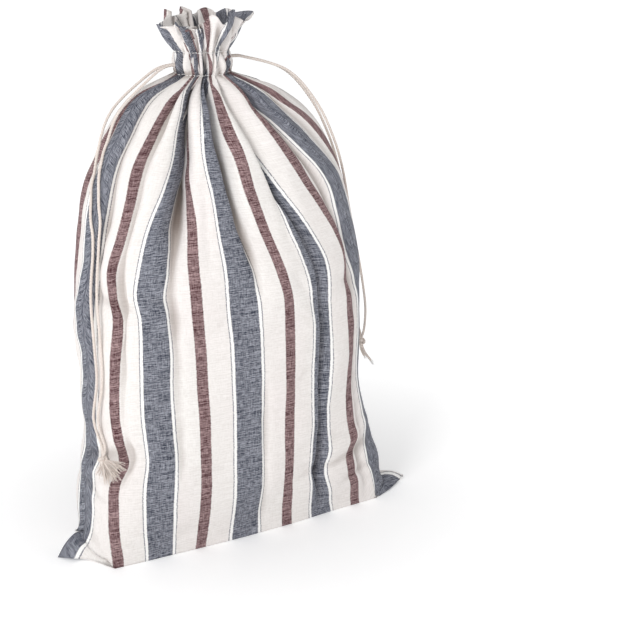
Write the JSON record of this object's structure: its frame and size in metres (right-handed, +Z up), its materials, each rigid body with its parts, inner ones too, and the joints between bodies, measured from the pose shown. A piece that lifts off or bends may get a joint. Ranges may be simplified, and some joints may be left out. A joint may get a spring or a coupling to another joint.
{
  "type": "drawstring bread bag",
  "caption": "Soft striped cloth bread bag, filled out and standing on its boxed base, gathered to a narrow ruffled neck by drawstrings whose knotted tails hang at both sides.",
  "frame": {"origin": "middle of the bag's footprint on the surface it stands on, measured without the cords and knots", "axes": "+Z up from the base to the ruffled mouth, -Y the front that the picture shows, +X to the right as seen from the front"},
  "size_m": [0.3174, 0.1168, 0.417],
  "materials": {
    "striped_cloth": "matt woven cloth, off-white with slate blue and burgundy stripes",
    "cotton_cord": "matt cream twisted cotton"
  },
  "bodies": {
    "root": {"bag_body": "striped_cloth", "left_cord_in_channel": "cotton_cord", "right_cord_in_channel": "cotton_cord", "left_tail_front": "cotton_cord", "left_tail_back": "cotton_cord", "right_tail_front": "cotton_cord", "right_tail_back": "cotton_cord", "left_knot": "cotton_cord", "right_knot": "cotton_cord"}
  },
  "joints": []
}
